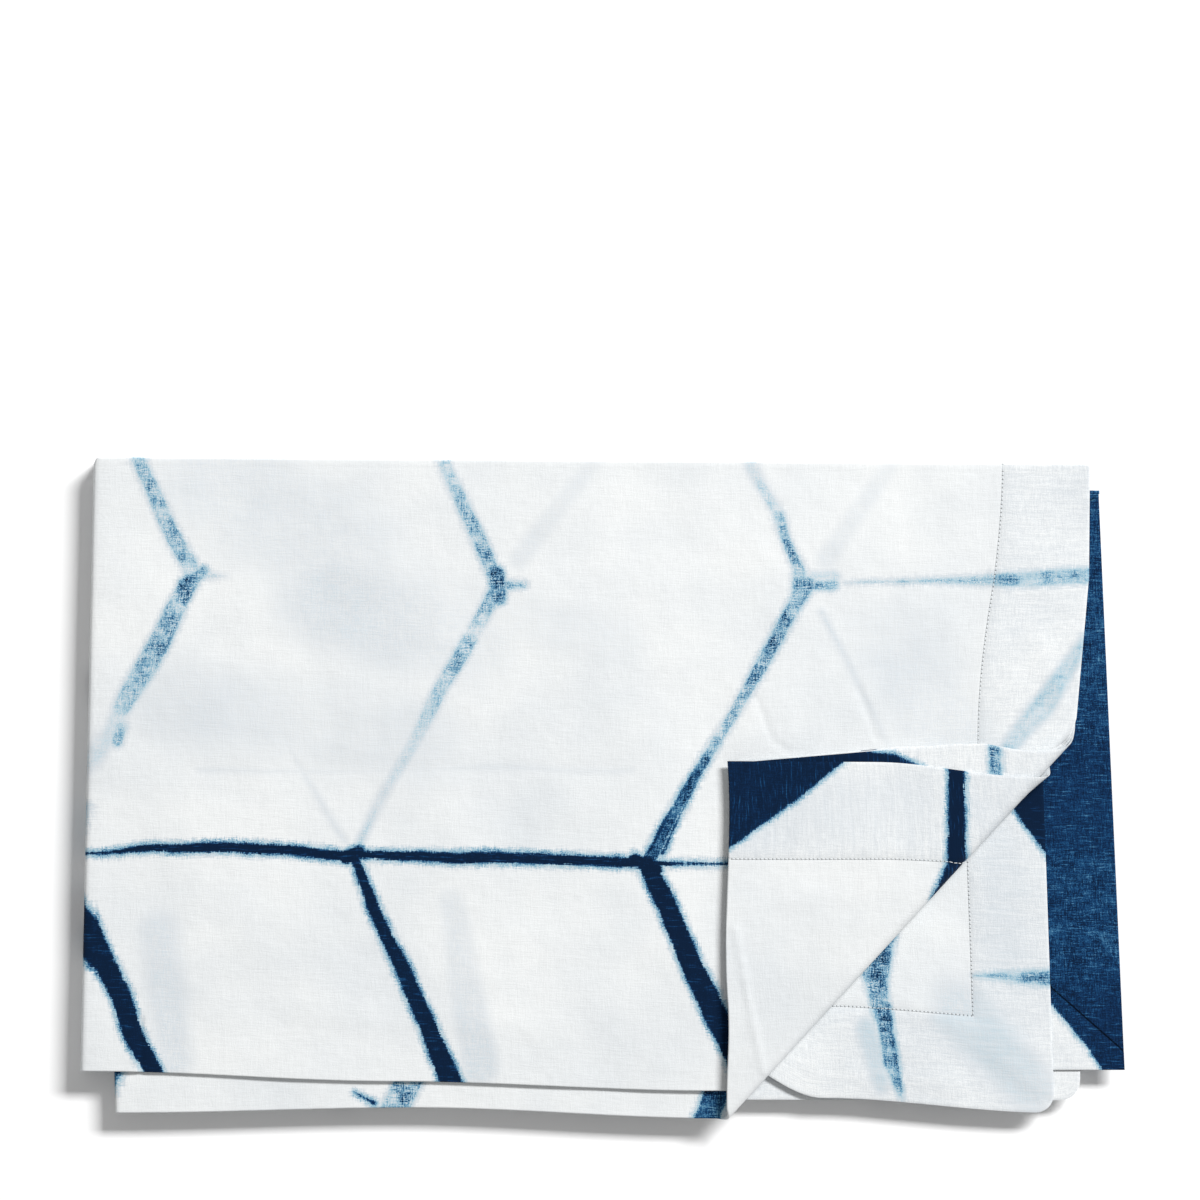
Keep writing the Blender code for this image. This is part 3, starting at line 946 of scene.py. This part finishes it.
def stitches_piece(material):
    """The sewing thread where it shows on the right side, a short spindle to each stitch."""
    points = []
    faces = []
    level = SHEET_LEVEL - SHEET / 2 - STITCH_RADIUS * 0.25
    for index, (start, way) in enumerate(stitch_starts()):
        end = start + way * STITCH_LENGTH
        if leaf_at(*start) != leaf_at(*end):
            continue
        first = at_rest(*start, level)
        last = at_rest(*end, level)
        leaf = leaf_at(*start)
        middle = (first + last) / 2
        if leaf in SEEN_LEAVES:
            middle.z += sewn_rise(*(start + way * STITCH_LENGTH / 2)) + crease_rise(leaf, middle.xy)
        faces += spindle_faces(len(points))
        points += spindle(middle, last - first, SPINDLE_TILT * math.sin(index * SPINDLE_CHANGE))
    mesh = bpy.data.meshes.new("hem_stitches")
    mesh.from_pydata(points, [], faces)
    mesh.polygons.foreach_set("use_smooth", [True] * len(faces))
    mesh.materials.append(material)
    return placed("hem_stitches", mesh)


# Materials.


class Tree:
    """Adds nodes to a node tree with their inputs linked or set."""

    def __init__(self, tree):
        self.tree = tree

    def fill(self, node, inputs):
        for key, value in dict(inputs).items():
            if isinstance(value, bpy.types.NodeSocket):
                self.tree.links.new(value, node.inputs[key])
            else:
                node.inputs[key].default_value = value

    def add(self, kind, inputs=(), **settings):
        node = self.tree.nodes.new(kind)
        for name, value in settings.items():
            setattr(node, name, value)
        self.fill(node, inputs)
        return node

    def math(self, operation, *values, clamp=False):
        node = self.add("ShaderNodeMath", enumerate(values), operation=operation, use_clamp=clamp)
        return node.outputs[0]

    def times(self, first, second):
        return self.math("MULTIPLY", first, second)

    def plus(self, first, second):
        return self.math("ADD", first, second)

    def minus(self, first, second):
        return self.math("SUBTRACT", first, second)

    def times_plus(self, first, second, third):
        return self.math("MULTIPLY_ADD", first, second, third)

    def size(self, value):
        return self.math("ABSOLUTE", value)

    def vector(self, operation, *values):
        node = self.add("ShaderNodeVectorMath", enumerate(values), operation=operation)
        return node.outputs["Value" if operation in ("DOT_PRODUCT", "LENGTH", "DISTANCE") else "Vector"]

    def scaled(self, vector, scale):
        return self.add("ShaderNodeVectorMath", {0: vector, "Scale": scale}, operation="SCALE").outputs[0]

    def noise(self, vector, scale, detail=2.0, roughness=0.5):
        inputs = {"Vector": vector, "Scale": scale, "Detail": detail, "Roughness": roughness}
        return self.add("ShaderNodeTexNoise", inputs).outputs["Fac"]

    def stretched(self, vector, across, along):
        """The place scaled unevenly, for marks that run along one set of threads."""
        inputs = {"Vector": vector, "Scale": (across, along, 1.0)}
        return self.add("ShaderNodeMapping", inputs).outputs[0]

    def spread(self, value, low, high, new_low=0.0, new_high=1.0, ease="LINEAR"):
        inputs = {"Value": value, "From Min": low, "From Max": high, "To Min": new_low, "To Max": new_high}
        return self.add("ShaderNodeMapRange", inputs, interpolation_type=ease).outputs["Result"]


def seen(red, green, blue):
    """A surface's colour from how it looks in the photograph, 0 to 255."""
    shares = [value / 255 for value in (red, green, blue)]
    return (*(((share + 0.055) / 1.055) ** 2.4 / LIGHT_LEVEL for share in shares), 1.0)


def stroke_group():
    """A node group: the dye of one straight stroke with its halo, over the dye that is there."""
    group = bpy.data.node_groups.new("dye stroke", "ShaderNodeTree")
    face = group.interface
    vectors = ("Place", "Start", "Run")
    floats = ("Dye", "Bleed", "Half Begin", "Half End", "Strength Begin", "Strength End", "Feather", "Halo")
    for name in vectors:
        face.new_socket(name, in_out="INPUT", socket_type="NodeSocketVector")
    for name in floats:
        face.new_socket(name, in_out="INPUT", socket_type="NodeSocketFloat")
    face.new_socket("Dye", in_out="OUTPUT", socket_type="NodeSocketFloat")
    tree = Tree(group)
    given = tree.add("NodeGroupInput").outputs
    there = tree.vector("SUBTRACT", given["Place"], given["Start"])
    ahead = tree.vector("DOT_PRODUCT", there, given["Run"])
    whole = tree.vector("DOT_PRODUCT", given["Run"], given["Run"])
    share = tree.math("DIVIDE", ahead, whole, clamp=True)
    far = tree.vector("DISTANCE", there, tree.scaled(given["Run"], share))
    half = tree.spread(share, 0.0, 1.0, given["Half Begin"], given["Half End"])
    strength = tree.spread(share, 0.0, 1.0, given["Strength Begin"], given["Strength End"])
    over = tree.plus(tree.minus(far, half), given["Bleed"])
    inner = tree.times(given["Feather"], -1.0)
    core = tree.spread(over, inner, given["Feather"], 1.0, 0.0, "SMOOTHSTEP")
    wide = tree.plus(over, tree.times(given["Bleed"], 0.8))
    halo = tree.spread(wide, 0.0, given["Halo"], 0.42, 0.0, "SMOOTHSTEP")
    made = tree.times(tree.math("MAXIMUM", core, halo), strength)
    tree.add("NodeGroupOutput", {"Dye": tree.math("MAXIMUM", made, given["Dye"])})
    return group


def lattice_strokes():
    """The strokes along the lattice of the top leaf."""
    for first, last, *stretches in LATTICE:
        start, end = Vector(NODES[first]), Vector(NODES[last])
        for begins, ends, *sizes in stretches:
            yield start.lerp(end, begins), start.lerp(end, ends), sizes[:2], sizes[2:]


def placed_strokes(leaf):
    """The strokes listed one by one for a leaf."""
    for on_leaf, *points in STROKES:
        for near, far in zip(points, points[1:]) if on_leaf == leaf else ():
            yield Vector(near[:2]), Vector(far[:2]), (near[2], far[2]), (near[3], far[3])


def area_strokes(area):
    """The strokes that reach into an area: their two pixels, two widths and two strengths."""
    leaf, left, right = area
    found = list(lattice_strokes()) if leaf == 1 else []
    for begin, finish, widths, strengths in found + list(placed_strokes(leaf)):
        reach = STROKE_REACH + widths[0]
        if max(begin.x, finish.x) + reach > left and min(begin.x, finish.x) - reach < right:
            yield begin, finish, widths, strengths


# How soft a stroke's edge is and how far its halo reaches. Faint ones are as soft as a share of their width.
DARK_EDGE = (0.0013, 0.0046)
PALE_EDGE = (0.0017, 0.004)
PALE_STRENGTH = 0.62
FAINT_STRENGTH = 0.22
FAINT_SHARE = 0.3
FAINT_LEAST = 0.004
FAINT_HALO = 0.0001


def stroke_edge(strength, width):
    if strength < FAINT_STRENGTH:
        return max(FAINT_LEAST, FAINT_SHARE * width / 1000), FAINT_HALO
    return PALE_EDGE if strength < PALE_STRENGTH else DARK_EDGE


def stroked_dye(tree, area, group, place, bleed):
    """The dye of every stroke that reaches into an area."""
    dye = 0.0
    for begin, finish, widths, strengths in area_strokes(area):
        start = flat_pixel(area[0], *begin)
        run = flat_pixel(area[0], *finish) - start
        feather, halo = stroke_edge(max(strengths), widths[0])
        inputs = {"Place": place, "Bleed": bleed, "Dye": dye, "Feather": feather, "Halo": halo}
        inputs |= {"Start": (start.x, start.y, 0.0), "Run": (run.x, run.y, 0.0)}
        inputs |= {"Half Begin": widths[0] / 2000, "Half End": widths[1] / 2000}
        inputs |= {"Strength Begin": strengths[0], "Strength End": strengths[1]}
        stroke = tree.tree.nodes.new("ShaderNodeGroup")
        stroke.node_tree = group
        tree.fill(stroke, inputs)
        dye = stroke.outputs["Dye"]
    return dye


def hidden_lattice(tree, place, bleed):
    """The dye of an even triangle lattice, for the leaves that hardly show."""
    dye = 0.0
    for turn in (90, 150, 210):
        angle = math.radians(turn)
        across = (math.cos(angle) / HIDDEN_ROW_STEP, math.sin(angle) / HIDDEN_ROW_STEP, 0.0)
        rows = tree.vector("DOT_PRODUCT", place, across)
        apart = tree.size(tree.minus(tree.math("FRACT", rows), 0.5))
        far = tree.times_plus(apart, HIDDEN_ROW_STEP, bleed)
        line = tree.spread(far, HIDDEN_WIDTH / 2 - 0.001, HIDDEN_WIDTH / 2 + 0.0015, 0.95, 0.0, "SMOOTHSTEP")
        dye = tree.math("MAXIMUM", dye, line)
    return dye


def edge_distance(tree, along, end):
    """How far a flat coordinate is from the cloth's end."""
    return tree.minus(end, tree.size(along))


def row_in_nodes(tree, x, y):
    """The distance of the short sides' stitch rows from the edge, as row_distance gives it."""
    found = []
    for side in (1, -1):
        row = SHORT_ROWS[side]
        turn = tree.times(tree.minus(y, row["crest"]), math.pi / row["half_wave"])
        found.append(tree.times_plus(tree.math("COSINE", turn), row["swing"], row["distance"]))
    right = tree.math("GREATER_THAN", x, 0.0)
    return tree.spread(right, 0.0, 1.0, found[1], found[0])


def hem_zone_and_row_shade(tree, flat):
    """Painted shade in the needle holes along the rows of stitches, the zone of the hems, and the band inside
    the rows that gets painted shade.
    """
    parts = tree.add("ShaderNodeSeparateXYZ", {0: flat}).outputs
    x, y = parts[0], parts[1]
    even = HEM_WIDTH - STITCH_INSET
    past_short = tree.minus(row_in_nodes(tree, x, y), edge_distance(tree, x, FLAT_LENGTH / 2))
    past_long = tree.minus(even, edge_distance(tree, y, FLAT_WIDTH / 2))
    hole_shade = 0.0
    for past, other, along, far in (
        (past_short, past_long, y, FLAT_WIDTH / 2 - even),
        (past_long, past_short, x, FLAT_LENGTH / 2 - even),
    ):
        on_row = tree.spread(tree.size(past), 0.00035, 0.00085, 1.0, 0.0)
        count = tree.times(tree.plus(along, far), 1 / STITCH_PITCH)
        off = tree.size(tree.minus(tree.math("FRACT", count), 0.86))
        # Each needle hole is painted darker, as shade.
        shaded_needle_hole = tree.times(on_row, tree.spread(off, 0.10, 0.22, 1.0, 0.0))
        inside = tree.math("LESS_THAN", other, 0.001)
        hole_shade = tree.math("MAXIMUM", hole_shade, tree.times(shaded_needle_hole, inside))
    past = tree.math("MAXIMUM", past_short, past_long)
    # The hole shade, the zone of the hems, and the band inside the rows that gets painted shade.
    return hole_shade, tree.spread(past, -0.001, 0.002), tree.spread(past, -0.010, 0.0)


def fold_zone_mask(tree, flat):
    """The zones of the folds across the cloth's width, which get a little painted shade over their lit
    rounding.
    """
    along = tree.add("ShaderNodeSeparateXYZ", {0: flat}).outputs[1]
    off = tree.size(tree.minus(tree.size(along), THIRD_CREASE))
    return tree.spread(off, THIRD_STRIP / 2, THIRD_STRIP / 2 + 0.002, 1.0, 0.0)


def mitre_mark(tree, flat):
    """The seam of the slanted corner, where two hems meet."""
    side_x, side_y = SLANTED_MITRE
    corner = (side_x * FLAT_LENGTH / 2, side_y * (FLAT_WIDTH / 2 - MITRE_SHIFT), 0.0)
    there = tree.vector("SUBTRACT", flat, corner)
    across = tree.vector("DOT_PRODUCT", there, (side_x / math.sqrt(2), -side_y / math.sqrt(2), 0.0))
    near = tree.math("LESS_THAN", tree.vector("LENGTH", there), 2 * HEM_WIDTH)
    return tree.times(tree.spread(tree.size(across), 0.0003, 0.0009, 1.0, 0.0), near)


# The scales of the slubs across and along the flat cloth.
SLUBS = {
    "weft": (110.0, 1050.0),
    "warp": (1050.0, 110.0),
    "weft_long": (30.0, 420.0),
    "warp_long": (420.0, 30.0),
}
DASHES = (75.0, 800.0)
THREAD_SCALE = 1100.0


def linen_threads(tree, flat):
    """How uneven linen is, by name: slubs along the threads, the threads themselves and broad patches."""
    loose = tree.add("ShaderNodeTexNoise", {"Vector": flat, "Scale": 70.0, "Detail": 1.0}).outputs["Color"]
    threaded = tree.vector("MULTIPLY_ADD", loose, (0.0022, 0.0022, 0.0), flat)
    linen = {}
    for name, scales in SLUBS.items():
        linen[name] = tree.noise(tree.stretched(threaded, *scales), 1.0, 2.0, 0.6)
    linen["threads"] = tree.noise(tree.stretched(flat, THREAD_SCALE, THREAD_SCALE), 1.0, 1.0, 0.5)
    linen["patch"] = tree.noise(flat, 7.0, 3.0, 0.6)
    linen["crossing"] = tree.minus(tree.plus(linen["weft"], linen["warp"]), 1.0)
    linen["specks"] = tree.plus(linen["crossing"], tree.minus(linen["threads"], 0.5))
    linen["dashes"] = tree.spread(tree.noise(tree.stretched(threaded, *DASHES), 1.0, 1.0), 0.58, 0.7)
    return linen


def linen_dye(tree, flat, crossing, area, group):
    """The dye of an area, or the even lattice without one, wandering and bleeding along the threads."""
    wander = tree.add("ShaderNodeTexNoise", {"Vector": flat, "Scale": 16.0, "Detail": 1.5}).outputs["Color"]
    centred = tree.vector("SUBTRACT", wander, (0.5, 0.5, 0.5))
    place = tree.vector("MULTIPLY_ADD", centred, (0.0065, 0.0065, 0.0), flat)
    bleed = tree.times(crossing, 0.0048)
    return stroked_dye(tree, area, group, place, bleed) if area else hidden_lattice(tree, place, bleed)


def taken_dye(tree, flat, linen, dye):
    """Pale dye takes unevenly from thread to thread, and deep dye shows paler slubs."""
    blotch = tree.spread(tree.noise(flat, 75.0, 3.0, 0.6), 0.34, 0.66, -0.52, 0.52)
    blotch = tree.times_plus(blotch, tree.spread(dye, 0.08, 0.24), 1.0)
    uneven = tree.times(tree.spread(linen["specks"], -0.3, 0.3, 0.25, 1.75), blotch)
    pale = tree.times(dye, uneven)
    reach = tree.spread(dye, 0.84, 0.97, 0.58, 0.28)
    patched = tree.spread(linen["patch"], 0.3, 0.7, 1.07, 0.93)
    speckled = tree.times_plus(linen["specks"], reach, patched)
    deep = tree.times(dye, tree.times_plus(linen["dashes"], -0.19, speckled))
    return tree.spread(tree.spread(dye, 0.5, 0.85), 0.0, 1.0, pale, deep)


def uneven_level(tree, linen, taken, hem_zone):
    """The depth of colour. Undyed cloth is a little uneven, more so over the hems."""
    soiled = tree.spread(linen["patch"], 0.38, 0.72, 0.0, 0.07)
    streak = tree.spread(tree.plus(linen["weft_long"], linen["specks"]), 0.25, 0.8, 0.058, 0.0)
    # Greyer streaks over the hems.
    hem_streaks = tree.times(hem_zone, streak)
    return tree.math("ADD", tree.plus(taken, soiled), hem_streaks, clamp=True)


def dye_colour(tree, level):
    ramp = tree.add("ShaderNodeValToRGB", {"Fac": level})
    stops = ramp.color_ramp.elements
    while len(stops) < len(DYE_RAMP):
        stops.new(0.5)
    for stop, (position, colour) in zip(stops, DYE_RAMP):
        stop.position = position
        stop.color = seen(*colour)
    return ramp.outputs["Color"]


def linen_tone(tree, flat, linen, hem_and_shade_masks, mitred):
    """How light a spot is: threads, slubs, painted shade in the needle holes and in a band beside the hem's
    rise, painted shade on the folds, and the mitre.
    """
    hole_shade, hem_zone, row_band_ramp = hem_and_shade_masks
    fine = tree.spread(linen["specks"], -0.35, 0.35, 0.95, 1.035)
    slub = tree.spread(tree.plus(linen["weft_long"], linen["warp_long"]), 0.7, 1.3, 0.982, 1.015)
    # Painted shade in the needle holes, deeper in some patches than others.
    needle_hole_tone = tree.times_plus(hole_shade, tree.spread(linen["patch"], 0.3, 0.7, -0.5, -0.72), 1.0)
    # Painted shade in a band up to 10 mm inside each row of stitches, deepest next to the row, where the
    # hem's inner layer raises the cloth.
    shaded_band = tree.math("SUBTRACT", row_band_ramp, hem_zone, clamp=True)
    row_band_shade = tree.times_plus(shaded_band, -0.035, 1.0)
    # Painted shade on the cloth going round the folds across the width, to tone down their lit rounding.
    fold_shade = tree.times_plus(fold_zone_mask(tree, flat), -0.03, 1.0)
    tone = tree.times(tree.times(fine, slub), tree.times(needle_hole_tone, row_band_shade))
    tone = tree.times(tone, fold_shade)
    if mitred:
        tone = tree.times(tone, tree.times_plus(mitre_mark(tree, flat), -0.8, 1.0))
    return tone


def linen_relief(tree, flat, linen):
    """Relief of the weave, the slubs and small wrinkles."""
    weave = tree.times_plus(linen["threads"], 0.6, tree.plus(linen["weft"], linen["warp"]))
    slubs = tree.plus(linen["weft_long"], tree.times(linen["warp_long"], 0.8))
    relief = tree.times_plus(slubs, 0.7, weave)
    bump = tree.add("ShaderNodeBump", {"Strength": 0.45, "Distance": 0.00025, "Height": relief})
    wrinkle = tree.noise(flat, 22.0, 3.0, 0.5)
    broad = {"Strength": 0.4, "Distance": 0.003, "Height": wrinkle, "Normal": bump.outputs[0]}
    return tree.add("ShaderNodeBump", broad).outputs[0]


def new_material(name):
    """A new material with nothing in its tree yet."""
    material = bpy.data.materials.new(name)
    material.use_nodes = True
    material.node_tree.nodes.clear()
    return material, Tree(material.node_tree)


def linen_material(name, area, group, mitred=False):
    """Plain woven linen with slubs, dyed along the strokes of its area, or by the even lattice."""
    material, tree = new_material(name)
    flat = tree.add("ShaderNodeUVMap", uv_map="flat").outputs[0]
    linen = linen_threads(tree, flat)
    hem_and_shade_masks = hem_zone_and_row_shade(tree, flat)
    dye = linen_dye(tree, flat, linen["crossing"], area, group)
    level = uneven_level(tree, linen, taken_dye(tree, flat, linen, dye), hem_and_shade_masks[1])
    inputs = {
        "Base Color": tree.scaled(dye_colour(tree, level), linen_tone(tree, flat, linen, hem_and_shade_masks, mitred)),
        "Roughness": tree.spread(level, 0.0, 1.0, 0.92, 0.82),
        "Specular IOR Level": 0.06,
        "Sheen Weight": 0.02,
        "Sheen Roughness": 0.6,
        "Normal": linen_relief(tree, flat, linen),
    }
    surface = tree.add("ShaderNodeBsdfPrincipled", inputs)
    tree.add("ShaderNodeOutputMaterial", {"Surface": surface.outputs[0]})
    return material


def thread_material():
    """Cotton thread, twisted."""
    material, tree = new_material("sewing_thread")
    speck = tree.noise(tree.add("ShaderNodeTexCoord").outputs["Object"], 900.0, 2.0, 0.5)
    ramp = tree.add("ShaderNodeValToRGB", {"Fac": speck})
    ramp.color_ramp.elements[0].color = seen(190, 197, 204)
    ramp.color_ramp.elements[1].color = seen(236, 239, 240)
    bump = tree.add("ShaderNodeBump", {"Strength": 0.4, "Distance": 0.0001, "Height": speck})
    inputs = {
        "Base Color": ramp.outputs["Color"],
        "Roughness": 0.75,
        "Sheen Weight": 0.1,
        "Normal": bump.outputs[0],
    }
    surface = tree.add("ShaderNodeBsdfPrincipled", inputs)
    tree.add("ShaderNodeOutputMaterial", {"Surface": surface.outputs[0]})
    return material


def plain_material(name, colour, roughness):
    material = bpy.data.materials.new(name)
    material.use_nodes = True
    surface = material.node_tree.nodes["Principled BSDF"]
    surface.inputs["Base Color"].default_value = colour
    surface.inputs["Roughness"].default_value = roughness
    surface.inputs["Specular IOR Level"].default_value = 0.1
    return material


# The setting.


def camera():
    """Looks straight down, with the photograph's frame at the height of the top leaf."""
    data = bpy.data.cameras.new("camera")
    data.sensor_width = 36.0
    data.lens = data.sensor_width * (CAMERA_HEIGHT - TOP_HEIGHT) / (PHOTO_SIDE * PIXEL)
    view = placed("camera", data)
    middle = seen_at(PHOTO_SIDE / 2, PHOTO_SIDE / 2)
    view.location = (middle.x, middle.y, CAMERA_HEIGHT)
    bpy.context.scene.camera = view


# The floor, and the two lights.
FLOOR_SIZE = 30.0
FLOOR_MIDDLE = (0.0, 0.1, 0.0)
KEY_SIZE = (7.6, 3.6)
KEY_PLACE = (9.0, 8.8, 9.6)
KEY_ENERGY = 5272.0
SKY_STRENGTH = 0.36


def floor():
    bpy.ops.mesh.primitive_plane_add(size=FLOOR_SIZE, location=FLOOR_MIDDLE)
    plane = bpy.context.object
    plane.name = "floor"
    plane.data.materials.append(plain_material("floor", (0.97, 0.97, 0.97, 1.0), 0.9))
    plane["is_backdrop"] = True


def lights():
    """A wide soft box to the upper right of the picture, and even light all round."""
    data = bpy.data.lights.new("key", "AREA")
    data.shape = "RECTANGLE"
    data.size, data.size_y = KEY_SIZE
    data.energy = KEY_ENERGY
    placed("key", data).location = KEY_PLACE
    world = bpy.data.worlds.new("studio")
    world.use_nodes = True
    sky = world.node_tree.nodes["Background"]
    sky.inputs["Color"].default_value = (1.0, 1.0, 1.0, 1.0)
    sky.inputs["Strength"].default_value = SKY_STRENGTH
    bpy.context.scene.world = world
    bpy.context.scene.view_settings.view_transform = "Standard"


camera()
floor()
lights()

group = stroke_group()
sheet_linens = [linen_material("shibori_linen_inner", None, group)]
for index, area in enumerate(SHEET_AREAS):
    sheet_linens.append(linen_material(f"shibori_linen_{index + 1}", area, group))
hem_linens = [linen_material("shibori_linen_hem", None, group, mitred=True)]
for index, area in enumerate(HEM_AREAS):
    hem_linens.append(linen_material(f"shibori_linen_hem_{index + 1}", area, group, mitred=True))

sheet = cloth_piece(sheet_linens)
hem = hem_piece(hem_linens)
stitches = stitches_piece(thread_material())
for piece in (sheet, hem, stitches):
    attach(piece, "root")
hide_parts("tablecloth")

boxes = [[list(corner) for corner in box] for box in (cad_box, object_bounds())]
